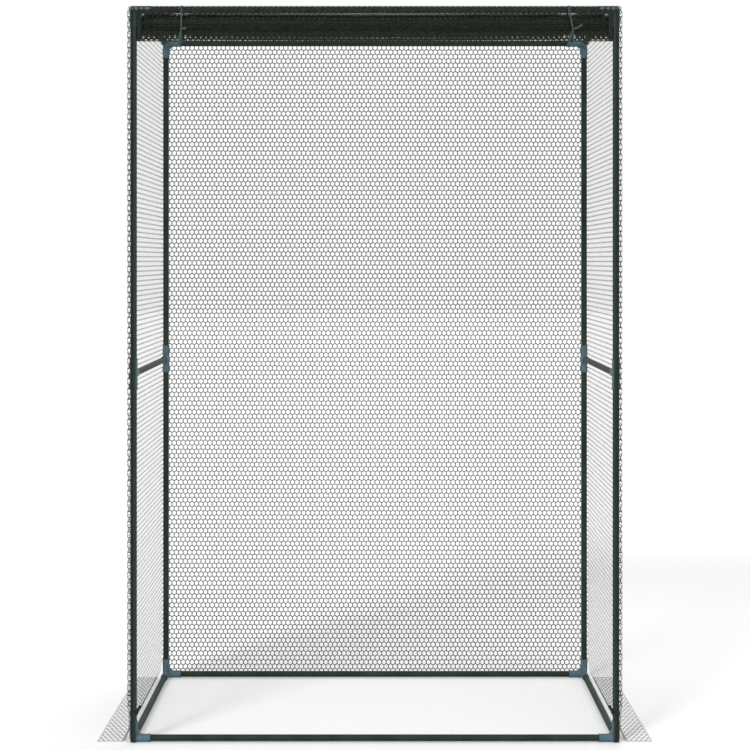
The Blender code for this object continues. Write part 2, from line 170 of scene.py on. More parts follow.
# Powder-coated steel: sprayed polyester powder, baked to a satin skin with a faint orange peel
powderCoat = {
    "finish": {"Roughness": 0.5, "IOR": 1.5, "Specular IOR Level": 0.12},
    "dark": "202b27",
    "light": "2c3a33",
    "textures": [("TexNoise", 60 * mm, "Fac", {}, {}), ("TexNoise", 1.6 * mm, "Fac", {}, {})],
    "roughness": {"To Min": 0.45, "To Max": 0.57},
    "relief": 0.03 * mm,
    "strength": 0.8,
}
powderCoatedSteel = texturedMaterial("powderCoatedSteel", powderCoat)

# Moulded polypropylene: blue-grey and satin, with flow clouds and the mould's eroded grain, drawn coarser
polypropylene = {
    "finish": {"Roughness": 0.48, "IOR": 1.49, "Specular IOR Level": 0.2},
    "dark": "4a636c",
    "light": "577079",
    "textures": [
        ("TexNoise", 22 * mm, "Fac", {"Distortion": 1.2}, {}),
        ("TexVoronoi", 0.7 * mm, "Distance", {}, {"feature": "SMOOTH_F1"}),
    ],
    "relief": 0.04 * mm,
    "strength": 0.7,
}
mouldedPolypropylene = texturedMaterial("mouldedPolypropylene", polypropylene)

# Extruded polyethylene net: dark green, waxy, mottled, with die lines drawn coarser than the real 0.1 mm
polyethylene = {
    "finish": {
        "Roughness": 0.4,
        "IOR": 1.51,
        "Specular IOR Level": 0.14,
        "Sheen Weight": 0.06,
        "Sheen Roughness": 0.3,
        "Sheen Tint": linear("c8f0b8"),
    },
    "dark": "060a05",
    "light": "2b3426",
    "textures": [("TexNoise", 5 * mm, "Fac", {}, {}), ("TexNoise", 0.5 * mm, "Fac", {"Detail": 3.0}, {})],
    "relief": 0.03 * mm,
    "strength": 0.5,
}
extrudedPolyethylene = texturedMaterial("extrudedPolyethylene", polyethylene)

# Moulded acetal: smooth, with faint tumbling marks; black for sliders and pulls, dyed dark green for teeth
acetal = {
    "finish": {"Roughness": 0.32, "IOR": 1.48, "Specular IOR Level": 0.3},
    "textures": [("TexNoise", 1.2 * mm, "Fac", {"Detail": 4.0}, {})],
    "relief": 0.02 * mm,
    "strength": 0.6,
}
mouldedAcetal = texturedMaterial("mouldedAcetal", {"dark": "0f1112", "light": "191c1d", **acetal})
dyedAcetal = texturedMaterial("dyedAcetal", {"dark": "262f2a", "light": "364039", **acetal})

# Spun polyester thread: a shade lighter than the tape that it holds; its plies, 0.6 mm apart, are the bands
# of a wave texture, which lie 0.3 of its size apart
thread = {
    "finish": {"Roughness": 0.7, "IOR": 1.5, "Specular IOR Level": 0.3, "Sheen Weight": 0.1},
    "dark": "3a4a40",
    "light": "5a6b60",
    "textures": [("TexWave", 2.0 * mm, "Fac", {"Distortion": 0.4}, {"bands_direction": "DIAGONAL"})],
    "relief": 0.1 * mm,
    "strength": 1.0,
}
spunThread = texturedMaterial("spunThread", thread)

# Woven polyester webbing: dull, with raised thread crossings; the ties are a lighter, finer weave
webbing = {
    "finish": {
        "Roughness": 0.85,
        "IOR": 1.46,
        "Specular IOR Level": 0.15,
        "Sheen Weight": 0.08,
        "Sheen Roughness": 0.4,
    },
    "relief": 0.15 * mm,
    "strength": 0.9,
}


def wovenMaterial(name, dark, light, warp, weft, slub):
    # a plain weave: warp threads along Z over weft threads along X; thick spots in the yarn vary its tone
    material, shader, place = newMaterial(name, webbing["finish"])
    parts = addNode(material, "SeparateXYZ", {"Vector": place}).outputs
    waves = []
    for axis, spacing in (("X", warp), ("Z", weft)):
        turned = addNode(material, "Math", {0: parts[axis], 1: math.pi / spacing}, operation="MULTIPLY")
        waves.append(addNode(material, "Math", {0: turned.outputs[0]}, operation="SINE").outputs[0])
    crossing = addNode(material, "Math", {0: waves[0], 1: waves[1]}, operation="MULTIPLY").outputs[0]
    spread = {"Value": crossing, "From Min": -1.0, "From Max": 1.0}
    weave = addNode(material, "MapRange", spread).outputs["Result"]
    fuzz = addNode(material, "TexNoise", {"Vector": place, "Scale": 1 / slub}).outputs["Fac"]
    both = addNode(material, "Math", {0: weave, 1: fuzz}, operation="ADD").outputs[0]
    half = addNode(material, "Math", {0: both, 1: 0.5}, operation="MULTIPLY").outputs[0]
    return dressed(material, shader, {"dark": dark, "light": light, **webbing}, half, weave)


wovenPolyester = wovenMaterial("wovenPolyester", "18201c", "26312b", 0.9 * mm, 0.7 * mm, 5 * mm)
wovenTie = wovenMaterial("wovenTie", "35403b", "4c5953", 0.8 * mm, 0.6 * mm, 4 * mm)
print("materials made")


def meshFrom(points, faces):
    # a smooth mesh from arrays; every face has as many corners as the array has columns
    points, faces = np.asarray(points, np.float32), np.asarray(faces, np.int32)
    mesh = bpy.data.meshes.new("mesh")
    mesh.vertices.add(len(points))
    mesh.vertices.foreach_set("co", points.ravel())
    mesh.loops.add(faces.size)
    mesh.loops.foreach_set("vertex_index", faces.ravel())
    mesh.polygons.add(len(faces))
    mesh.polygons.foreach_set("loop_start", np.arange(0, faces.size, faces.shape[1], dtype=np.int32))
    mesh.update(calc_edges=True)
    mesh.shade_smooth()
    return mesh


def shapedMesh(shaping):
    # shaping fills an empty shape
    shape = bmesh.new()
    shaping(shape)
    mesh = bpy.data.meshes.new("mesh")
    shape.to_mesh(mesh)
    shape.free()
    return mesh


def meshOf(made):
    # the finished mesh of the first object; it and its helpers are used up
    bpy.context.view_layer.update()
    mesh = bpy.data.meshes.new_from_object(made[0].evaluated_get(bpy.context.evaluated_depsgraph_get()))
    for used in made:
        bpy.data.objects.remove(used, do_unlink=True)
    return mesh


def joinedMesh(meshes):
    return shapedMesh(lambda shape: [shape.from_mesh(mesh) for mesh in meshes])


sharpOver = {"net": 70, "band": 50, "tube": 40, "copies": 40, "plate": 35}  # degrees between two faces


def keepSharp(mesh, kind):
    mesh.set_sharp_from_angle(angle=math.radians(sharpOver[kind]))


def turnedOut(mesh, kind, weld=None):
    # every face is turned to look outwards; points closer than the weld become one
    fixed = bmesh.new()
    fixed.from_mesh(mesh)
    if weld:
        bmesh.ops.remove_doubles(fixed, verts=fixed.verts, dist=weld)
        bmesh.ops.triangulate(fixed, faces=fixed.faces)
    bmesh.ops.recalc_face_normals(fixed, faces=fixed.faces)
    fixed.to_mesh(mesh)
    fixed.free()
    mesh.shade_smooth()
    keepSharp(mesh, kind)
    return mesh


def addPiece(name, mesh, material, body=None, stands=()):
    # a named piece on a body; one with no body is left to its maker
    piece, mesh.name = addObject(name, mesh), name
    mesh.materials.append(material)
    if body:
        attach(piece, body)
    if stands:
        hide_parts(*stands)
    return piece


def lineReach(line):
    # the distance along a polyline at each of its points
    return np.concatenate([[0], np.cumsum(np.linalg.norm(np.diff(line, axis=0), axis=1))])


def alongLine(reach, columns, distances):
    return np.stack([np.interp(distances, reach, column) for column in columns.T], 1)


def unit(vectors):
    return vectors / np.maximum(np.linalg.norm(vectors, axis=-1, keepdims=True), 1e-12)


def arc(start, end, count=24):
    # angles from start to end in degrees, as radians
    return np.radians(np.linspace(start, end, count))


def curved(angles, wide, high, x=0.0, y=0.0):
    # points at these angles round a spot, so far out to the side and up
    return [(x + wide * math.cos(a), y + high * math.sin(a)) for a in angles]


def mirrored(points, x=1, y=1):
    # the points from last to first, with x or y turned over
    return [(x * a, y * b) for a, b in points[::-1]]


def ringQuads(rings, count, closed=False):
    # quads from ring to ring of so many points, and where it is closed from the last ring to the first
    i, j = np.meshgrid(np.arange(rings if closed else rings - 1), np.arange(count), indexing="ij")
    nextI, nextJ = (i + 1) % rings, (j + 1) % count
    corners = [i * count + j, i * count + nextJ, nextI * count + nextJ, nextI * count + j]
    return np.stack(corners, -1).reshape(-1, 4)


def eased(t):
    # 0 to 1 with a soft start and end
    t = t.clip(0, 1)
    return t * t * (3 - 2 * t)


# The net: an extruded mesh of hexagons, a little taller than they are wide, 12.7 mm from side to side
netting = {"pitch": 12.7 * mm, "rowStep": 12.46 * mm, "strand": 2.38 * mm, "thick": 0.26 * mm, "hair": 1e-6}


def netMesh(size, surface, cells=None, keep=None, thick=netting["thick"], strand=netting["strand"]):
    # size is the sheet's width and length, cells its columns and rows, and surface places its flat points.
    # In lattice units a cell is 2 wide and a row is 3 high.
    # Returns the mesh, its flat size and the share that is strand.
    columns, rows = cells or (round(size[0] / netting["pitch"]), round(size[1] / netting["rowStep"]))
    centres = [(2 * c + r % 2, 3 * r) for r in range(rows + 1) for c in range(columns + 1 - r % 2)]
    centres = np.array(centres)
    step = np.array([size[0] / (2 * columns), size[1] / (3 * rows)])
    if keep:
        centres = centres[keep(*(centres * step).T)]
    corners = centres[:, None] + np.array([(0, 2), (-1, 1), (-1, -1), (0, -2), (1, -1), (1, 1)])
    corners = corners.clip((0, 0), (2 * columns, 3 * rows))
    keys, ids = np.unique(corners[..., 0] * (3 * rows + 1) + corners[..., 1], return_inverse=True)
    ids = ids.reshape(-1, 6)

    # each hole is its cell moved in by half a strand
    flat = corners * step
    edges = np.roll(flat, -1, axis=1) - flat
    inward = unit(np.stack([-edges[..., 1], edges[..., 0]], -1))
    between = unit(np.roll(inward, 1, axis=1) + np.roll(inward, -1, axis=1))
    noLength = np.linalg.norm(edges, axis=-1, keepdims=True) < 1e-9
    inward = np.where(noLength, between, inward)
    before = np.roll(inward, 1, axis=1)
    turn = 1 + (before * inward).sum(-1, keepdims=True)
    holes = flat + (before + inward) * (strand / 2) / turn

    ridges = np.stack([keys // (3 * rows + 1), keys % (3 * rows + 1)], 1) * step
    ridgeAt, ridgeUp = surface(*ridges.T)
    holeAt = surface(*holes.reshape(-1, 2).T)[0]
    points = np.concatenate([ridgeAt + ridgeUp * thick / 2, ridgeAt - ridgeUp * thick / 2, holeAt])

    count = len(keys)
    hole = 2 * count + np.arange(ids.size).reshape(-1, 6)
    nextId, nextHole = np.roll(ids, -1, axis=1), np.roll(hole, -1, axis=1)
    # an edge that only one cell has is the net's border, and gets a wall
    pair = (np.minimum(ids, nextId) * count + np.maximum(ids, nextId)).ravel()
    which, times = np.unique(pair, return_inverse=True, return_counts=True)[1:]
    border = (times[which] == 1) & (ids != nextId).ravel()
    a, b = ids.ravel()[border], nextId.ravel()[border]
    upper = np.stack([ids, nextId, nextHole, hole], -1).reshape(-1, 4)
    lower = np.stack([nextId + count, ids + count, hole, nextHole], -1).reshape(-1, 4)
    quads = np.concatenate([upper, lower, np.stack([b, a, a + count, b + count], -1)])
    faces = np.concatenate([quads[:, [0, 1, 2]], quads[:, [0, 2, 3]]])
    real = (faces[:, 0] != faces[:, 1]) & (faces[:, 1] != faces[:, 2]) & (faces[:, 0] != faces[:, 2])
    faces = faces[real]
    p, q, r = (points[faces[: len(centres), i]] for i in range(3))
    if (np.cross(q - p, r - p) * ridgeUp[faces[: len(centres), 0]]).sum() < 0:
        faces = faces[:, ::-1]

    def areaOf(loop):
        x, y = loop[..., 0], loop[..., 1]
        return abs((x * np.roll(y, -1, axis=1) - y * np.roll(x, -1, axis=1)).sum()) / 2

    cut = (areaOf(flat) / size[1], size[1])
    mesh = meshFrom(points, faces)
    keepSharp(mesh, "net")
    return mesh, cut, 1 - areaOf(holes) / areaOf(flat)


def addNet(name, size, surface, body, stands, held, restsOn, gathered=None, **options):
    # a piece of net on a body; gathered is its length where it is drawn up
    mesh, cut, share = netMesh(size, surface, **options)
    piece = addPiece(name, mesh, extrudedPolyethylene, body, stands)
    cut = (cut[0], gathered or cut[1])
    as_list(restsOn)
    return piece


def facing(normal, *place):
    # a flat surface's points, and the one normal that they share
    return np.stack(np.broadcast_arrays(*place), 1), np.tile(normal, (len(place[0]), 1))


def addHalfNets(name, size, surface, body, stands, *facts, **options):
    # a wide sheet comes in two pieces, and the left one stands for the CAD nodes; a cell on the middle line
    # goes to the right one
    middle, pieces = size[0] / 2 - netting["hair"], []
    for hand in sides:
        options["keep"] = lambda x, y: (x < middle) == (hand == "left")
        replaced = stands if hand == "left" else []
        pieces.append(addNet(f"{name}_{hand}", size, surface, body, replaced, *facts, **options))
    return pieces


# The cover: one sheet per side of the cage, drawn tight round the tubes' corners
cover = {
    "gap": 12.0 * mm,  # from a side rail's centre line to its net
    "frontGap": 10.5 * mm,  # round the front post, behind the zip's tape
    "backGap": 11.05 * mm,
    "roofGap": 10.3 * mm,
    "lap": 75,  # degrees that each wall turns in over the top rail
    "backFoot": 3 * mm,
    "flareTop": 44 * mm,
    "flareOut": 27.0 * mm,
    "flareLift": 1.0 * mm,
    "flarePulls": ((-7 * mm, 1 * mm), (0.5 * mm, -22 * mm)),  # how its curve leaves the ground and the wall
    "flareTurns": (45, 80),  # degrees round the back and the front post that have no flare
    "roofHalf": 0.5935,
    "roofLow": 1.7820,  # where the roof's front edge ends, before the rail
    "bow": 3.6 * mm,  # how far the wall stands out round the front post
    "bowStart": 0.225,
    "bowReach": 60 * mm,
    "bowLow": 62 * mm,  # above the folded skirt's edge
    "bowRise": 28 * mm,
}
# into how many points each line is divided
steps = {"side": 60, "back": 120, "wall": 200, "flare": 40, "roof": 100, "roofWide": 50, "roofDrop": 5}


def coverSurface(core, out, profile):
    # a sheet that follows a line in plan (points and outward directions) and a profile (outward and up)
    core, out, profile = (np.array(points, float) for points in (core, out, profile))
    reach = lineReach(core + out * cover["gap"])
    rise = lineReach(profile)
    slope = np.gradient(profile, rise, axis=0)
    plan = np.concatenate([core, out], 1)
    upright = np.concatenate([profile, slope[:, 1:], -slope[:, :1]], 1)

    def surface(across, up):
        x, y, outX, outY = alongLine(reach, plan, across).T
        gap, z, normalOut, normalUp = alongLine(rise, upright, up).T
        points = np.stack([x + outX * gap, y + outY * gap, z], 1)
        return points, unit(np.stack([outX * normalOut, outY * normalOut, normalUp], 1))

    return surface, (reach[-1], rise[-1])


def sidePlan(side):
    # from the back corner along the side and round the front post
    back, front = arc(45, 0), arc(0, 90)
    straight = np.linspace(backY, frontY, steps["side"])[1:-1]
    core = [(side * postX, backY)] * len(back) + [(side * postX, y) for y in straight]
    core += [(side * postX, frontY)] * len(front)
    backShare, frontShare = cover["backGap"] / cover["gap"], cover["frontGap"] / cover["gap"]
    out = curved(back, side, backShare) + [(side, 0)] * len(straight)
    return core, out + curved(front, side, -frontShare)


def backPlan():
    turn = arc(45, 0)
    stretch = cover["gap"] / cover["backGap"]
    straight = np.linspace(-postX, postX, steps["back"])[1:-1]
    left = [(-stretch * math.sin(a), math.cos(a)) for a in turn]
    core = [(-postX, backY)] * len(turn) + [(x, backY) for x in straight] + [(postX, backY)] * len(turn)
    return core, left + [(0, 1)] * len(straight) + mirrored(left, x=-1)


def flareProfile():
    # limp net that hangs off the wall and turns out onto the ground
    foot, wall = Vector((cover["flareOut"], cover["flareLift"])), Vector((cover["gap"], cover["flareTop"]))
    footPull, wallPull = (Vector(pull) for pull in cover["flarePulls"])
    curve = interpolate_bezier(foot, foot + footPull, wall + wallPull, wall, steps["flare"])
    return [tuple(point) for point in curve]


def wallProfile(gap, low):
    # straight up to the top rail, and over it
    straight = [(gap, z) for z in np.linspace(low, topZ, steps["wall"])[:-1]]
    return straight + curved(arc(0, cover["lap"]), gap, cover["roofGap"], 0, topZ)


surface, size = coverSurface(*backPlan(), wallProfile(cover["backGap"], cover["backFoot"]))
backRails = ["top_rail_back", "bottom_rail_back"]
addHalfNets("net_back", size, surface, "root", ["net_back"], "stretched", backRails)

for hand, side in sides.items():
    flare = flareProfile()
    surface, size = coverSurface(*sidePlan(side), flare + wallProfile(cover["gap"], cover["flareTop"])[1:])
    foot = lineReach(np.array(flare))[-1]
    backTurn, frontTurn = (math.radians(turn) for turn in cover["flareTurns"])
    flareFrom, flareTo = backTurn * cover["gap"], size[0] - frontTurn * cover["frontGap"]

    def onTheWall(x, y):
        # the flare has no net round the posts
        return (y > foot) | ((x > flareFrom) & (x < flareTo))

    def bowed(across, up):
        points, normals = surface(across, up)
        front = ((-points[:, 1] - cover["bowStart"]) / cover["bowReach"]).clip(0, 1)
        high = ((points[:, 2] - cover["bowLow"]) / cover["bowRise"]).clip(0, 1)
        points[:, 0] += side * cover["bow"] * eased(front) * high
        return points, normals

    stands, rails = [f"net_{hand}", f"hem_{hand}"], [f"top_rail_{hand}", f"bottom_rail_{hand}"]
    addNet(f"net_side_{hand}", size, bowed, "root", stands, "stretched", rails, keep=onTheWall)


def overFrontRail(gap, start, low):
    # over the front rail from an angle, and down before it
    rise = cover["roofGap"] / cover["frontGap"] * gap
    turn = curved(arc(start, 180), gap, rise, frontY, topZ)
    return turn + [(frontY - gap, z) for z in np.linspace(topZ, low, steps["roofDrop"])[1:]]


def addRoofNet(name, half, profile, stands, rails):
    line = [(x, 0.0) for x in np.linspace(-half, half, steps["roofWide"])]
    surface, size = coverSurface(line, [(0.0, 1.0)] * len(line), profile)
    addNet(name, size, surface, "root", stands, "stretched", rails)


# The roof runs from the back lap forward and turns down over the front rail
profile = curved(arc(cover["lap"], 90), cover["backGap"], cover["roofGap"], backY, topZ)
profile += [(y, topZ + cover["roofGap"]) for y in np.linspace(backY, frontY, steps["roof"])[1:-1]]
profile += overFrontRail(cover["frontGap"], 90, cover["roofLow"])
addRoofNet("net_roof_sheet", cover["roofHalf"], profile, ["net_roof"], ["top_rail_back", "top_rail_front"])

# Its front edge is folded under, so the net lies double over the front rail
fold = {"half": 0.5904, "gap": 10.25 * mm, "from": 100, "low": 1.7806}
profile = overFrontRail(fold["gap"], fold["from"], fold["low"])
addRoofNet("net_roof_fold", fold["half"], profile, [], ["top_rail_front"])

# The skirts lie flat on the ground by the foot of the side nets
skirt = {
    "inner": 0.6177,
    "outer": 0.6740,
    "half": 0.2885,
    "spread": 0.09,  # it widens a little towards the front
    "z": 0.22 * mm,
    "ripple": 0.04 * mm,
    "ripples": (40, 90),  # radians a metre, along it and outward
    "strand": 1.95 * mm,
    "cells": (5, 46),
}
cageMiddle = (frontY + backY) / 2
for hand, side in sides.items():
    size = (skirt["outer"] - skirt["inner"], 2 * skirt["half"])

    def onTheGround(outward, along):
        alongTurns, outwardTurns = skirt["ripples"]
        ripple = skirt["ripple"] * np.sin(along * alongTurns) * np.sin(outward * outwardTurns)
        x = side * (skirt["inner"] + outward * (1 + skirt["spread"] * along / size[1]))
        return facing((0.0, 0.0, 1.0), x, cageMiddle + skirt["half"] - along, skirt["z"] + ripple)

    options = {"cells": skirt["cells"], "strand": skirt["strand"]}
    stands, rests = [f"skirt_{hand}"], [f"net_side_{hand}"]
    addNet(f"net_skirt_{hand}", size, onTheGround, f"skirt_{hand}", stands, "laid", rests, **options)
print("cover laid")


band = {"firstAcross": (0.3, 0.9, 0.1), "selvedge": 7}  # how a free band starts, and points in its edge


def sweptBand(path, section, across=None):
    # a band drawn along a path of points: section is its outline as (across, outward) pairs
    path = np.array(path, float)
    tangent = unit(np.gradient(path, axis=0))
    if across is None:
        # carried along without twist
        carried = [unit(np.cross(tangent[0], band["firstAcross"]))]
        for t in tangent[1:]:
            carried.append(unit(carried[-1] - t * (carried[-1] @ t)))
        across = np.array(carried)
    else:
        across = np.broadcast_to(np.array(across, float), path.shape)
        across = unit(across - tangent * (across * tangent).sum(1, keepdims=True))
    outward = np.cross(tangent, across)
    section = np.asarray(section, float)
    if section.ndim == 2:
        section = np.broadcast_to(section, (len(path), *section.shape))
    points = path[:, None] + section[..., :1] * across[:, None] + section[..., 1:] * outward[:, None]
    rings, count = len(path), section.shape[1]
    quads = ringQuads(rings, count)
    points = np.concatenate([points.reshape(-1, 3), path[:1], path[-1:]])
    first, last, turn = len(points) - 2, len(points) - 1, np.arange(count)
    start = np.stack([np.full(count, first), (turn + 1) % count, turn], 1)
    finish = np.stack([np.full(count, last), turn, (turn + 1) % count], 1)
    finish[:, 1:] += (rings - 1) * count
    faces = np.concatenate([quads[:, [0, 1, 2]], quads[:, [0, 2, 3]], start, finish])
    return turnedOut(meshFrom(points, faces), "band")


def strapSection(width, thick):
    # a flat woven strap with rounded selvedges
    r = thick / 2
    right = curved(arc(-90, 90, band["selvedge"]), r, r, width / 2 - r)
    return right + mirrored(right, x=-1)


def addStrap(name, path, width, thick, body="door", material=wovenPolyester, stands=()):
    # a flat strap that keeps its width along X
    mesh = sweptBand(path, strapSection(width, thick), (1, 0, 0))
    return addPiece(name, mesh, material, body, stands)


def smoothPath(points, count):
    # a smooth line through a few points
    points = np.array(points, float)
    reach = lineReach(points)
    slope = np.gradient(points, reach, axis=0)
    spots = np.linspace(0, reach[-1], count)
    i = np.clip(np.searchsorted(reach, spots, side="right") - 1, 0, len(points) - 2)
    gap = (reach[i + 1] - reach[i])[:, None]
    t = (spots - reach[i])[:, None] / gap
    ends = (2 * t**3 - 3 * t**2 + 1) * points[i] + (3 * t**2 - 2 * t**3) * points[i + 1]
    return ends + (t**3 - 2 * t**2 + t) * gap * slope[i] + (t**3 - t**2) * gap * slope[i + 1]


# The rolled door: 1.7 m of net wound up behind the top of the doorway, with its last rows hanging free
roll = {
    "radius": 28.5 * mm,
    "core": 8 * mm,
    "y": -0.2676,
    "z": 1.7555,
    "half": 0.5793,
    "length": 1.682,
    "taperStart": 0.561,  # its ends are drawn in beside the connectors
    "taper": 5.5 * mm,
    "droop": 5.5 * mm,
    "wave": 0.35 * mm,
    "waves": (31, 67, 1),  # radians a metre of its two waves, and the second one's start
    "sag": 2.5 * mm,  # between the ties
    "tied": 0.02,  # how far along it a tie presses
    "swells": [(8.2 * mm, 74, 28), (5.0 * mm, -92, 34)],  # loose turns' depth, middle angle and spread
    "steps": 60,  # points in each turn
}
tieX = 0.4755


def spiralLine():
    # from the core out to the front of the roll, where the net hangs down
    pitch = math.pi * (roll["radius"] ** 2 - roll["core"] ** 2) / roll["length"]
    turns = (roll["radius"] - roll["core"]) / pitch
    angles = math.pi - math.tau * np.linspace(turns, 0, int(turns * roll["steps"]))
    reach = roll["radius"] + (angles - math.pi) / math.tau * pitch
    return np.stack([reach * np.cos(angles), reach * np.sin(angles)], 1)


spiral = spiralLine()
spiralReach = lineReach(spiral)


def sagAt(x):
    return roll["sag"] * (1 - (x / tieX) ** 2).clip(0, 1)


def onTheRoll(across, along):
    x = across - roll["half"]
    y, z = alongLine(spiralReach, spiral, along).T
    drawn = eased((abs(x) - roll["taperStart"]) / (roll["half"] - roll["taperStart"]))
    shrink = 1 - drawn * roll["taper"] / roll["radius"]
    slow, quick, start = roll["waves"]
    slack = 1 - roll["wave"] / roll["radius"] * (1 + np.sin(x * slow) * np.sin(x * quick + start))
    free = 1 - np.exp(-(((abs(x) - tieX) / roll["tied"]) ** 2))  # the ties press the swells flat
    swell = np.ones_like(x)
    for depth, middle, spread in roll["swells"]:
        turned = (np.degrees(np.arctan2(z, y)) - middle + 180) % 360 - 180
        swell += depth / roll["radius"] * free * (1 - drawn) * np.exp(-((turned / spread) ** 2))
    out = np.stack([np.zeros_like(x), y, z], 1)
    points = out * (shrink * slack * swell)[:, None]
    points += np.stack([x, np.full_like(x, roll["y"]), roll["z"] - drawn * roll["droop"] - sagAt(x)], 1)
    return points, unit(out)


size = (2 * roll["half"], spiralReach[-1])
rolled = addHalfNets("door_roll", size, onTheRoll, "door", ["door_roll"], "folded", ["top_rail_front"])

# The door's side edges are bound with tape, which is wound up with the net
binding = {"width": 10 * mm, "thick": 0.5 * mm, "strip": 0.16 * mm, "hem": 0.28 * mm}
bindingSteps = {"roll": 900, "strip": 300, "hem": 8}
for hand, side in sides.items():
    along = np.linspace(0, spiralReach[-1], bindingSteps["roll"])
    middle = side * (roll["half"] - binding["width"] / 2)
    path = onTheRoll(np.full(len(along), middle + roll["half"]), along)[0]
    rolled.append(addStrap(f"door_binding_{hand}", path, binding["width"], binding["thick"]))
for piece in rolled:
    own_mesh(piece)

# The last rows hang loose under the roll, layer behind layer
fringe = {
    "rows": 2,
    "wave": 0.3 * mm,
    "waves": (41, 900),  # radians a metre along it, and how the layers' waves are set off
    "stiff": 8,  # the power that keeps its ends straight
    "layers": {  # half width, top, bottom and place from front to back
        "front": (0.5804, 1.7370, 1.7121, -0.29695),
        "middle": (0.5712, 1.7426, 1.7134, -0.2930),
        "back": (0.5728, 1.7367, 1.7128, -0.2890),
        "centre": (0.1650, 1.7392, 1.7137, -0.2910),
    },
}
behind = ["door_roll_left", "door_roll_right"]
for layer, (half, top, bottom, y) in fringe["layers"].items():

    def onTheFringe(across, up):
        x = across - half
        alongTurns, layerTurns = fringe["waves"]
        wave = fringe["wave"] * np.sin(x * alongTurns + y * layerTurns) * (1 - (x / half) ** fringe["stiff"])
        return facing((0.0, -1.0, 0.0), x, y + wave, bottom + up * (top - bottom) / size[1] - sagAt(x))

    size = (2 * half, fringe["rows"] * netting["rowStep"])
    addNet(f"door_fringe_{layer}", size, onTheFringe, "door", [], "hung", behind)
half, top, bottom, y = fringe["layers"]["front"]
for hand, side in sides.items():
    levels = np.linspace(bottom, top, bindingSteps["hem"])
    path = [(side * (half - binding["width"] / 2), y, z) for z in levels]
    addStrap(f"door_hem_{hand}", path, binding["width"], binding["hem"])

# The strip above the roll: nearly all its rows, as much net as the door's travel, are drawn up at the roll
strip = {
    "half": 0.5804,
    "top": 1.790,
    "start": 1.781,
    "end": 1.7215,
    "y": -0.29755,
    "thick": 0.06 * mm,
    "tucked": 26.9 * mm,  # between its edges it lies behind the roll's outermost turn, so far from the middle
    "tuckLean": 0.02,  # the roll's spiral brings it out by this share of its height
    "tuckTop": 19.5 * mm,  # from the roll's middle up to where it comes forward again
    "tuckEase": 8 * mm,
    "tuckFree": (0.545, 0.568),  # between these widths it comes forward beside the roll
    "steps": 4000,
}
travel = next(j for j in frame["joints"] if j["name"] == "door_unroll")["range_m"][1]
heights = np.linspace(strip["top"], strip["end"], strip["steps"])
drop = strip["top"] - heights + travel * eased((strip["start"] - heights) / (strip["start"] - strip["end"]))


def onTheStrip(across, down):
    x, z = across - strip["half"], np.interp(down, drop, heights)
    fromMiddle = z - roll["z"] + sagAt(x)
    near = fromMiddle.clip(-strip["tuckTop"], strip["tuckTop"])
    tuckedY = roll["y"] - np.sqrt((strip["tucked"] + near * strip["tuckLean"]) ** 2 - near**2)
    inner, outer = strip["tuckFree"]
    between = ((outer - abs(x)) / (outer - inner)).clip(0, 1)
    share = eased(between * (1 - (abs(fromMiddle - near) / strip["tuckEase"]).clip(0, 1)))
    return facing((0.0, -1.0, 0.0), x, strip["y"] + (tuckedY - strip["y"]) * share, z)


size = (2 * strip["half"], drop[-1])
options = {"gathered": strip["top"] - strip["end"], "thick": strip["thick"]}
hung = addHalfNets("door_strip", size, onTheStrip, None, ["door_net"], "hung", ["net_roof_sheet"], **options)
for hand, side in sides.items():
    levels = np.interp(np.linspace(0, drop[-1], bindingSteps["strip"]), drop, heights)
    middle = side * (strip["half"] - binding["width"] / 2)
    path = [(middle, strip["y"], z) for z in levels]
    hung.append(addStrap(f"door_edge_{hand}", path, binding["width"], binding["strip"], None))
for piece in hung:
    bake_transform(piece)
print("door rolled up")


def latheMesh(profile, axis, count, spot=(0, 0, 0)):
    # a closed profile of (radius, height) turned round Z, then laid along an axis
    profile = np.array(profile)
    turns = np.linspace(0, math.tau, count, endpoint=False)
    ring = np.stack([np.cos(turns), np.sin(turns)], 1)
    points = np.concatenate([np.column_stack([ring * r, np.full(count, z)]) for r, z in profile])
    mesh = meshFrom(points, ringQuads(len(profile), count, closed=True))
    turn = Vector((0, 0, 1)).rotation_difference(Vector(axis)).to_matrix().to_4x4()
    mesh.transform(Matrix.Translation(spot) @ turn)
    return mesh


# Tubes: drawn steel, with rolled ends inside the connectors
tube = {"radius": 8 * mm, "wall": 0.7 * mm, "rim": 0.25 * mm, "sides": 48}
outer, inner, rim = tube["radius"], tube["radius"] - tube["wall"], tube["rim"]
tubeNodes = [row["node"] for row in frame["record"]["subparts"] if row["material_slot"] == "tube"]
for node in tubeNodes:
    low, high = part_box(node)
    spans = high - low
    half = max(spans) / 2
    axis = [float(span == max(spans)) for span in spans]
    end = [(outer, half - rim), (outer - rim, half), (inner + rim, half), (inner, half - rim)]
    mesh = latheMesh(end + mirrored(end, y=-1), axis, tube["sides"], (low + high) / 2)
    keepSharp(mesh, "tube")
    addPiece(f"{node}_tube", mesh, powderCoatedSteel, "root", [node])
print("tubes drawn")

# Connectors: moulded in one piece, with a thickened collar at each mouth and a fillet between the arms
connector = {
    "radius": 10 * mm,
    "neck": 9.7 * mm,
    "collar": 5 * mm,
    "collarEdge": 0.8 * mm,
    "reach": 42 * mm,
    "bore": 8.25 * mm,
    "floor": 12 * mm,
    "leadIn": 0.9 * mm,
    "leadLift": 0.2 * mm,
    "overrun": 4 * mm,  # how far the bore's core stands out of the mouth
    "axisGap": 0.1 * mm,
    "fillet": 14 * mm,
    "sink": 0.6 * mm,  # of the fillet into the arms
    "webHalf": 4.6 * mm,
    "teeHalf": 38 * mm,
    "teeStop": 4 * mm,
    "teeOverlap": 1 * mm,
    "voxel": 0.7 * mm,
    "soften": (0.5, 4),  # share and rounds of smoothing
    "sides": 40,
    "filletSteps": 17,
}


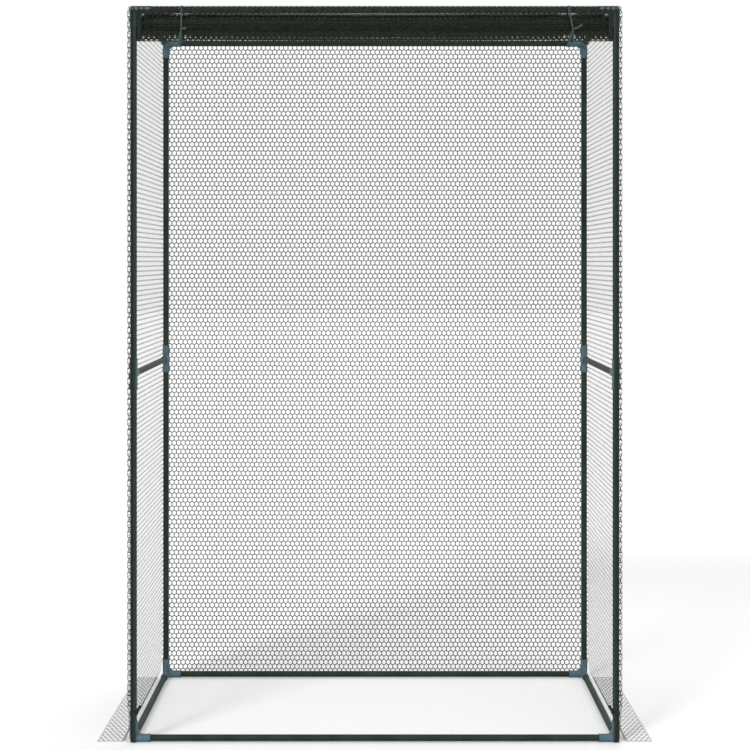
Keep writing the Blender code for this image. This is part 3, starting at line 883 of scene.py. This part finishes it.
def sleeveProfile(low, high):
    # an arm from its root out to its collared mouth
    neck, outer, gap = connector["neck"], connector["radius"], connector["axisGap"]
    collar, edge = high - connector["collar"], connector["collarEdge"]
    points = [(gap, low), (neck, low), (neck, collar - edge), (outer, collar)]
    return points + [(outer, high - edge / 2), (outer - edge / 2, high), (gap, high)]


def boreProfile(low, high):
    # the core that leaves the bore and its lead-in
    bore, lead, gap = connector["bore"], connector["leadIn"], connector["axisGap"]
    lip, top = high + connector["leadLift"], high + connector["overrun"]
    return [(gap, low), (bore, low), (bore, high - lead), (bore + lead, lip), (bore + lead, top), (gap, top)]


def filletPlate(axis):
    # the hollow web between two arms, lying across the third axis
    outer, radius, half = connector["neck"], connector["fillet"], connector["webHalf"]
    middle, turn = outer + radius - connector["sink"], arc(180, 270, connector["filletSteps"])
    hollow = curved(turn, radius, radius, middle, middle)
    outline = [(outer / 2, outer / 2), (outer / 2, middle)] + hollow + [(middle, outer / 2)]

    def shaping(shape):
        loops = []
        for h in (-half, half):
            places = [{"X": (h, a, b), "Y": (a, h, b), "Z": (a, b, h)}[axis] for a, b in outline]
            loops.append([shape.verts.new(place) for place in places])
        under, over = loops
        shape.faces.new(under)
        shape.faces.new(over[::-1])
        for i in range(len(outline)):
            shape.faces.new((under[i - 1], over[i - 1], over[i], under[i]))
        bmesh.ops.recalc_face_normals(shape, faces=shape.faces)

    return shapedMesh(shaping)


def armsAndBores(arms):
    # each arm has an axis, its root, the floor of its bore and its mouth
    count = connector["sides"]
    shells = [latheMesh(sleeveProfile(root, mouth), axis, count) for axis, root, floor, mouth in arms]
    cores = [latheMesh(boreProfile(floor, mouth), axis, count) for axis, root, floor, mouth in arms]
    return shells, cores


def moulded(shells, cores):
    # the shells run together and the cores are drawn out, then every edge is softened as a mould leaves it
    body = addObject("body", joinedMesh(shells))
    helpers = [addObject("core", core) for core in cores]
    skin = {"mode": "VOXEL", "voxel_size": connector["voxel"], "use_smooth_shade": True}
    withSettings(body.modifiers.new("skin", "REMESH"), **skin)
    for core in helpers:
        bore = body.modifiers.new("bore", "BOOLEAN")
        withSettings(bore, operation="DIFFERENCE", solver="EXACT", object=core)
    withSettings(body.modifiers.new("skin", "REMESH"), **skin)
    soft = body.modifiers.new("soft", "SMOOTH")
    soft.factor, soft.iterations = connector["soften"]
    return meshOf([body] + helpers)


def mouldedCorner():
    def ball(shape):
        segments = {"u_segments": connector["sides"], "v_segments": connector["sides"] // 2}
        bmesh.ops.create_uvsphere(shape, radius=connector["neck"], **segments)

    axes = ((1, 0, 0), (0, 1, 0), (0, 0, 1))
    arms, bores = armsAndBores([(axis, 0, connector["floor"], connector["reach"]) for axis in axes])
    webs = [filletPlate(axis) for axis in "XYZ"]
    return moulded([shapedMesh(ball)] + arms + webs, bores)


def mouldedTee():
    root, stop, half = -connector["teeOverlap"], connector["teeStop"], connector["teeHalf"]
    arms = [((0, 0, 1), root, stop, half), ((0, 0, -1), root, stop, half)]
    return moulded(*armsAndBores(arms + [((0, 1, 0), 0, connector["floor"], connector["reach"])]))


def placed(mesh, spot, mirror, turn=Matrix()):
    # moves a shape to its place, and turns it right side out again where it was mirrored
    move = Matrix.Translation(spot) @ Matrix.Diagonal((*mirror, 1)) @ turn
    mesh.transform(move)
    if move.determinant() < 0:
        mesh.flip_normals()
    return mesh


corner, tee = mouldedCorner(), mouldedTee()
for depth, y, inward in (("front", frontY, 1), ("back", backY, -1)):
    for hand, side in sides.items():
        shapes = {}
        for level, z, up in (("bottom", bottomZ, 1), ("top", topZ, -1)):
            shape = placed(corner.copy(), (side * postX, y, z), (-side, inward, up))
            shapes[f"corner_{level}_{depth}_{hand}"] = shape
        shapes[f"tee_{depth}_{hand}"] = placed(tee.copy(), (side * postX, y, middleZ), (1, inward, 1))
        for node, shape in shapes.items():
            addPiece(f"{node}_moulding", shape, mouldedPolypropylene, "root", [node])
print("connectors moulded:", len(corner.polygons), "and", len(tee.polygons), "faces")

# The ties: a strap from the roof's front edge goes down before the roll, under it and back over the rail
tie = {
    "x": tieX,
    "width": 4.6 * mm,
    "thick": 0.8 * mm,
    "frontY": -0.2990,
    "down": (1.7990, 1.790, 1.775, 1.757, 1.742, 1.727, 1.7185),  # heights that it passes in front
    "under": ((0.4 * mm, 1.7135), (3.0 * mm, 1.7106), (8.5 * mm, 1.7098)),  # how far back, and how high
    "slack": 0.7 * mm,  # between the strap and the roll
    "roundRoll": (-62, 60, 12),  # degrees from and to, and steps
    "roundRail": (60, 160, 8),
    "rail": 8.9 * mm,
    "keep": 0.02,
    "lean": {"left": (0.0040, 0.0036), "right": (-0.0018, 0.0080)},  # how far over at its top and its knot
    "steps": 150,
}
knot = {
    "z": 1.7405,
    "width": 8.5 * mm,
    "height": 8 * mm,
    "depth": 3.4 * mm,
    "strap": 3.4 * mm,
    "thick": 1.0 * mm,
    "sink": 0.3 * mm,  # into the strap behind it
    "open": 0.25,  # radians left open where the tails come out
    "tailWidths": (3.4 * mm, 5.2 * mm, 5.8 * mm),
    "tailShares": (0, 0.25, 1),  # where along a tail it has these widths
    "tailThick": 0.8 * mm,
    "curl": (0.45, 1.9),  # mm that a tail waves to and fro, and radians from point to point
    "tails": {  # each knot's long and short tail, as (x, z) in mm from the knot
        "left": (
            [(0, 0), (-2.0, -8), (-4.2, -18), (-5.2, -28), (-5.0, -38)],
            [(0, 0), (4, 2.5), (8, 2.2), (11.5, 4.6)],
        ),
        "right": (
            [(0, 0), (-3.0, -7), (-6.6, -16), (-9.0, -27), (-14.0, -43)],
            [(0, 0), (7, 3), (14, 7), (22, 12)],
        ),
    },
    "tailBack": (0.0, -0.4),  # mm that the long and the short tail lie further back
    "trefoil": 2.9,  # how far the loop's curve reaches from its middle
    "steps": 140,
    "tailSteps": 60,
}


def tieRoute():
    # down the front, round the hanging rows and the roll, and straight up over the rail
    snug = roll["radius"] + tie["thick"] / 2 + tie["slack"]
    front = tie["frontY"]
    points = [(front, z) for z in tie["down"]] + [(front + back, z) for back, z in tie["under"]]
    bends = ((roll["y"], roll["z"], snug, "roundRoll"), (frontY, topZ, tie["rail"], "roundRail"))
    for y, z, reach, turn in bends:
        points += curved(arc(*tie[turn]), reach, reach, y, z)
    return [(0.0, y, z) for y, z in points]


for hand, side in sides.items():
    route = smoothPath(tieRoute(), tie["steps"])
    atTop, atKnot = tie["lean"][hand]
    down = ((topZ - route[:, 2]) / (topZ - knot["z"])).clip(0, 1)
    route[:, 0] = side * tie["x"] + atTop + (atKnot - atTop) * down
    stands = [f"tie_{hand}"]
    piece = addStrap(f"tie_strap_{hand}", route, tie["width"], tie["thick"], "root", wovenTie, stands)
    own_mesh(piece)


def knotLoop():
    # a trefoil of strap, drawn tight
    t = np.linspace(knot["open"], math.tau - knot["open"], knot["steps"])
    x, z = np.sin(t) + 2 * np.sin(2 * t), np.cos(t) - 2 * np.cos(2 * t)
    wide, high = ((knot[size] - knot["strap"] / 2) / 2 / knot["trefoil"] for size in ("width", "height"))
    return np.stack([x * wide, -np.sin(3 * t) * (knot["depth"] - knot["thick"]) / 2, z * high], 1)


# Each knot: the strap's two ends crossed and drawn tight, one hanging long and one cut short
knotY = tie["frontY"] - tie["thick"] / 2 - knot["depth"] / 2 + knot["sink"]
for hand, side in sides.items():
    centre = np.array([side * tie["x"] + tie["lean"][hand][1], knotY, knot["z"]])
    meshes = [sweptBand(centre + knotLoop(), strapSection(knot["strap"], knot["thick"]))]
    for tail, back in zip(knot["tails"][hand], knot["tailBack"]):
        (curl, step), count = knot["curl"], knot["tailSteps"]
        line = [(x * mm, (back - curl * math.sin(i * step)) * mm, z * mm) for i, (x, z) in enumerate(tail)]
        line = smoothPath(centre + np.array(line), count)
        widths = np.interp(np.linspace(0, 1, count), knot["tailShares"], knot["tailWidths"])
        section = np.array([strapSection(width, knot["tailThick"]) for width in widths])
        across = np.gradient(line, axis=0)[:, ::-1] * (-1, 0, 1)  # its flat side to the front
        meshes.append(sweptBand(line, section, across))
    addPiece(f"tie_bow_{hand}", joinedMesh(meshes), wovenTie, "root", [f"tie_knot_{hand}"])
print("ties knotted")

# The zips: a woven tape down each front post, with moulded teeth along its inner edge
zipTape = {
    "outer": 5.8 * mm,  # from the post's centre line
    "inner": 6.9 * mm,
    "back": -0.29735,
    "thick": 0.9 * mm,
    "low": 0.002,
    "high": 1.7866,  # it ends under the fold of the roof net
    "ripple": 0.06 * mm,
    "ripples": 23,  # radians a metre
    "bead": 0.55 * mm,  # the cord in its inner edge
    "beadIn": 0.4 * mm,
    "margin": 4 * mm,  # above and below the teeth and stitches
    "steps": 240,
    "beadSides": 8,
}
teeth = {
    "pitch": 2.5 * mm,
    "reach": 3.4 * mm,
    "head": 1.15 * mm,
    "half": 1.05 * mm,
    "edge": 0.2 * mm,
    "past": 0.1 * mm,  # beyond the tape's edge
    "sink": 0.3 * mm,  # into its front
    # a tooth's lower outline, as shares of its reach and head
    "shares": [(0, -1), (0.55, -1), (0.72, -0.54), (0.8, -1), (1, -0.62)],
}
stitches = {
    "pitch": 3.4 * mm,
    "length": 2.5 * mm,
    "radius": 0.24 * mm,
    "bow": 0.16 * mm,
    "rows": (-1.6 * mm, 5.9 * mm),
    "sides": 6,
    "steps": 6,
}
faceFront = Matrix(((1, 0, 0, 0), (0, 0, 1, 0), (0, 1, 0, 0), (0, 0, 0, 1)))  # from XY to XZ


plateWeld = 1e-6


def flatCurve(loops, thick, edge, steps=2):
    # a flat plate in XY from closed outlines, the first its rim and the rest its holes, with rounded edges
    form = {"dimensions": "2D", "fill_mode": "BOTH", "extrude": thick / 2 - edge, "offset": -edge}
    form |= {"bevel_depth": edge, "bevel_resolution": steps}
    curve = withSettings(bpy.data.curves.new("plate", "CURVE"), **form)
    for loop in loops:
        spline = curve.splines.new("POLY")
        spline.points.add(len(loop) - 1)
        spline.points.foreach_set("co", np.array([(x, y, 0, 1) for x, y in loop]).ravel())
        spline.use_cyclic_u = True
    return turnedOut(meshOf([addObject("plate", curve)]), "plate", weld=plateWeld)


def repeated(mesh, offsets):
    # one mesh of many copies of a small shape
    points = np.zeros(len(mesh.vertices) * 3)
    mesh.vertices.foreach_get("co", points)
    mesh.calc_loop_triangles()
    faces = np.zeros(len(mesh.loop_triangles) * 3, np.int32)
    mesh.loop_triangles.foreach_get("vertices", faces)
    points, faces, offsets = points.reshape(-1, 3), faces.reshape(-1, 3), np.array(offsets)
    allFaces = faces[None] + (np.arange(len(offsets)) * len(points))[:, None, None]
    made = meshFrom((points[None] + offsets[:, None]).reshape(-1, 3), allFaces.reshape(-1, 3))
    keepSharp(made, "copies")
    return made


def roundSection(radius, count):
    return curved(np.linspace(0, math.tau, count, endpoint=False), radius, radius)


def levelsAt(pitch):
    return np.arange(zipTape["low"] + zipTape["margin"], zipTape["high"] - zipTape["margin"], pitch)


for hand, side in sides.items():
    # the tape ripples a little from top to bottom, and a cord stiffens its inner edge
    middle, count = side * (postX + (zipTape["outer"] - zipTape["inner"]) / 2), zipTape["steps"]
    width, front = zipTape["outer"] + zipTape["inner"], zipTape["back"] - zipTape["thick"]
    heights = np.linspace(zipTape["low"], zipTape["high"], count)
    ripple = zipTape["ripple"] * np.sin(heights * zipTape["ripples"])
    path = np.stack([np.full(count, middle), zipTape["back"] - zipTape["thick"] / 2 + ripple, heights], 1)
    tape = sweptBand(path, strapSection(width, zipTape["thick"]), (1, 0, 0))
    edgeX = middle - side * width / 2
    cord = path + (edgeX - middle + side * zipTape["beadIn"], 0, 0)
    bead = sweptBand(cord, roundSection(zipTape["bead"], zipTape["beadSides"]), (1, 0, 0))
    mesh, stands = joinedMesh([tape, bead]), [f"zip_tape_{hand}"]
    addPiece(f"zip_tape_{hand}_band", mesh, wovenPolyester, "root", stands)

    shares = teeth["shares"] + mirrored(teeth["shares"], y=-1)
    outline = [(teeth["reach"] * (x - 1), teeth["head"] * z) for x, z in shares]
    tooth = flatCurve([outline], 2 * teeth["half"], teeth["edge"], 1)
    placed(tooth, (0, 0, 0), (-side, 1, 1), faceFront)
    chainY = front + zipTape["thick"] / 2 - teeth["sink"]
    spots = [(edgeX - side * teeth["past"], chainY, z) for z in levelsAt(teeth["pitch"])]
    addPiece(f"zip_teeth_{hand}", repeated(tooth, spots), dyedAcetal, "root")

    bend = np.linspace(-0.5, 0.5, stitches["steps"])
    line = np.stack([bend * 0, -stitches["bow"] * np.cos(bend * math.pi), bend * stitches["length"]], 1)
    stitch = sweptBand(line, roundSection(stitches["radius"], stitches["sides"]), (1, 0, 0))
    heights = levelsAt(stitches["pitch"])
    spots = [(side * (postX + row), front, z) for row in stitches["rows"] for z in heights]
    addPiece(f"zip_stitches_{hand}", repeated(stitch, spots), spunThread, "root")
print("zips sewn:", len(heights), "stitches a row")

# Sliders and pulls: moulded round the teeth, each pull hanging in its slider's bridge
slider = {
    "x": 0.5816,
    "z": 0.076,
    "halfWidth": 4.6 * mm,
    "backReach": 2.5 * mm,  # short on the post's side, to pass the tees
    "halfHeight": 4.5 * mm,
    # a plate's outline, as shares of its reach to either side and of its half height
    "shares": [(-1, -0.7), (-0.72, -1), (0.72, -1), (1, -0.7), (1, 0.55), (0.5, 1), (-0.5, 1), (-1, 0.55)],
    "round": 1.0 * mm,
    "plate": 1.35 * mm,
    "edge": 0.35 * mm,
    "front": -0.2996,
    "back": -0.2966,
    "web": (0.6 * mm, 2.9 * mm),  # its half width and half height
    "webRound": 0.4 * mm,
    "webEdge": 0.05 * mm,
    "webSink": 0.7 * mm,  # into each plate
    "bridge": 2.05 * mm,
    "bridgeEdge": 0.3 * mm,
    "bridgeWidth": 2.3 * mm,
    "bore": 1.2 * mm,
    "bridgeSides": 32,
}
pull = {
    "pivotY": -0.3031,
    "half": 2.8 * mm,
    "thick": 0.95 * mm,
    "edge": 0.28 * mm,
    "lean": 33,  # degrees towards the door
    "bar": 0.62 * mm,
    "eyeHalf": 1.5 * mm,
    "eyeTops": (3.4 * mm, 3.9 * mm),  # on the door's side and on the post's
    "shoulders": (4.0 * mm, 5.4 * mm),
    # the paddle's side: shares of its half width, and how far along it from the pivot
    "paddle": [(1.25, 8 * mm), (1.15, 20 * mm), (0.6, 21.5 * mm)],
    "round": 1.4 * mm,
    "eyeRound": 0.4 * mm,
    "ribs": (10.5 * mm, 12.7 * mm, 14.9 * mm, 17.1 * mm),
    "ribShare": 0.75,  # of the paddle's half width
    "ribHalf": 0.35 * mm,
    "ribRound": 0.3 * mm,
    "ribEdge": 0.15 * mm,
    "ribLift": 0.25 * mm,
}


rounding = {"reach": 0.45, "pull": 0.55, "steps": 5}  # shares of a side and of the way to its corner


def roundedOutline(corners, radius):
    # a polygon with its corners turned on a radius
    corners = [Vector(c) for c in corners]
    points = []
    for i, corner in enumerate(corners):
        before, after = corners[i - 1] - corner, corners[(i + 1) % len(corners)] - corner
        reach = min(radius, before.length * rounding["reach"], after.length * rounding["reach"])
        a, b = corner + before.normalized() * reach, corner + after.normalized() * reach
        pulls = [end.lerp(corner, rounding["pull"]) for end in (a, b)]
        points += [tuple(point) for point in interpolate_bezier(a, *pulls, b, rounding["steps"])]
    return points


def sliderPlate(low, high):
    # one of the slider's plates; low and high are its reach away from the door and towards it
    outline = [(x * (high if x > 0 else low), z * slider["halfHeight"]) for x, z in slider["shares"]]
    return flatCurve([roundedOutline(outline, slider["round"])], slider["plate"], slider["edge"])


def sliderWeb():
    half, tall = slider["web"]
    outline = roundedOutline([(-half, -tall), (half, -tall), (half, tall), (-half, tall)], slider["webRound"])
    thick = slider["back"] - slider["front"] + 2 * slider["webSink"]
    return flatCurve([outline], thick, slider["webEdge"])


def pullTab():
    # a stirrup round the bridge's bar and a ribbed paddle that leans towards the door
    lean, half, bar, eye = math.radians(pull["lean"]), pull["half"], pull["bar"], pull["eyeHalf"]
    along, over = Vector((math.sin(lean), math.cos(lean))), Vector((math.cos(lean), -math.sin(lean)))

    def onPaddle(share, reach):
        return along * reach + over * half * share

    paddle = pull["paddle"] + mirrored(pull["paddle"], x=-1)
    rim = [(-half, -bar), (half, -bar), (half, pull["shoulders"][0])]
    rim += [onPaddle(share, reach) for share, reach in paddle] + [(-half, pull["shoulders"][1])]
    hole = [(-eye, bar), (eye, bar), (eye, pull["eyeTops"][0]), (-eye, pull["eyeTops"][1])]
    outlines = [roundedOutline(rim, pull["round"]), roundedOutline(hole, pull["eyeRound"])]
    shapes = [flatCurve(outlines, pull["thick"], pull["edge"])]
    for reach in pull["ribs"]:
        low, high, share = reach - pull["ribHalf"], reach + pull["ribHalf"], pull["ribShare"]
        rib = [onPaddle(-share, low), onPaddle(share, low), onPaddle(share, high), onPaddle(-share, high)]
        thick = pull["thick"] + 2 * pull["ribLift"]
        shapes.append(flatCurve([roundedOutline(rib, pull["ribRound"])], thick, pull["ribEdge"]))
    return shapes


for hand, side in sides.items():

    def atSlider(mesh, y):
        # turned to face the front, with its right side towards the door
        return placed(mesh, (side * slider["x"], y, slider["z"]), (-side, 1, 1), faceFront)

    wide, halfPlate = slider["halfWidth"], slider["plate"] / 2
    body = [atSlider(sliderPlate(wide, wide), slider["front"] - halfPlate)]
    body.append(atSlider(sliderPlate(slider["backReach"], wide), slider["back"] + halfPlate))
    body.append(atSlider(sliderWeb(), (slider["back"] + slider["front"]) / 2))
    outer, edge, half = slider["bridge"], slider["bridgeEdge"], slider["bridgeWidth"] / 2
    ring = [(outer, half - edge), (outer - edge, half), (slider["bore"], half)]
    ring = mirrored(ring, y=-1) + ring
    pivot = (side * slider["x"], pull["pivotY"], slider["z"])
    body.append(latheMesh(ring, (1, 0, 0), slider["bridgeSides"], pivot))
    tab = atSlider(joinedMesh(pullTab()), pull["pivotY"])
    for kind, end, mesh in (("slider", "body", joinedMesh(body)), ("pull", "tab", tab)):
        name, stands = f"zip_{kind}_{hand}_{end}", [f"zip_{kind}_{hand}"]
        addPiece(name, mesh, mouldedAcetal, f"{kind}_{hand}", stands)
print("sliders and pulls moulded")

# The floor is pale and keeps the cage's shadow; the world behind it is white
stage = {"floor": "f2f2f2", "halfSize": 30.0, "lift": 0.16, "world": 0.46}
half = stage["halfSize"]
corners = [(-half, -half, 0), (half, -half, 0), (half, half, 0), (-half, half, 0)]
floorMesh = meshFrom(corners, [(0, 1, 2, 3)])
floor = addObject("floor", floorMesh)
mattBoard, shader, place = newMaterial("mattBoard", {"Roughness": 0.9, "Specular IOR Level": 0.1})
shader.inputs["Base Color"].default_value = linear(stage["floor"])
seen = addNode(mattBoard, "LightPath").outputs["Is Camera Ray"]
white = addNode(mattBoard, "Emission", {"Strength": stage["lift"]}).outputs["Emission"]
board = shader.outputs["BSDF"]
lifted = addNode(mattBoard, "AddShader", {0: board, 1: white}).outputs["Shader"]
choose = addNode(mattBoard, "MixShader", {"Fac": seen, 1: board, 2: lifted})
surfaceOutput = mattBoard.node_tree.nodes["Material Output"]
mattBoard.node_tree.links.new(choose.outputs["Shader"], surfaceOutput.inputs["Surface"])
floorMesh.materials.append(mattBoard)

world = bpy.data.worlds.new("studio")
scene.world = world
world.use_nodes = True
background = world.node_tree.nodes["Background"]
background.inputs["Color"].default_value = (1, 1, 1, 1)
background.inputs["Strength"].default_value = stage["world"]
whole = addNode(world, "Background", {"Color": (1, 1, 1, 1), "Strength": 1.0})
rays = addNode(world, "LightPath").outputs
direct = rays["Is Camera Ray"]
for kind in ("Is Glossy Ray", "Is Transmission Ray"):
    direct = addNode(world, "Math", {0: direct, 1: rays[kind]}, operation="MAXIMUM").outputs[0]
inputs = {"Fac": direct, 1: background.outputs["Background"], 2: whole.outputs["Background"]}
mixed = addNode(world, "MixShader", inputs)
world.node_tree.links.new(mixed.outputs["Shader"], world.node_tree.nodes["World Output"].inputs["Surface"])

lamps = {  # direction towards the lamp, softness in degrees, strength
    "key": ((-2.2, -3.4, 3.2), 14, 1.5),
    "fill": ((2.8, -3.2, 1.8), 50, 0.7),
    "back": ((0.8, 3.4, 3.2), 50, 0.9),
}
for name, (towards, softness, strength) in lamps.items():
    lamp = withSettings(bpy.data.lights.new(name, "SUN"), angle=math.radians(softness), energy=strength)
    light = addObject(name, lamp)
    light.rotation_euler = Vector(towards).to_track_quat("Z", "Y").to_euler()
print("stage and lamps set")
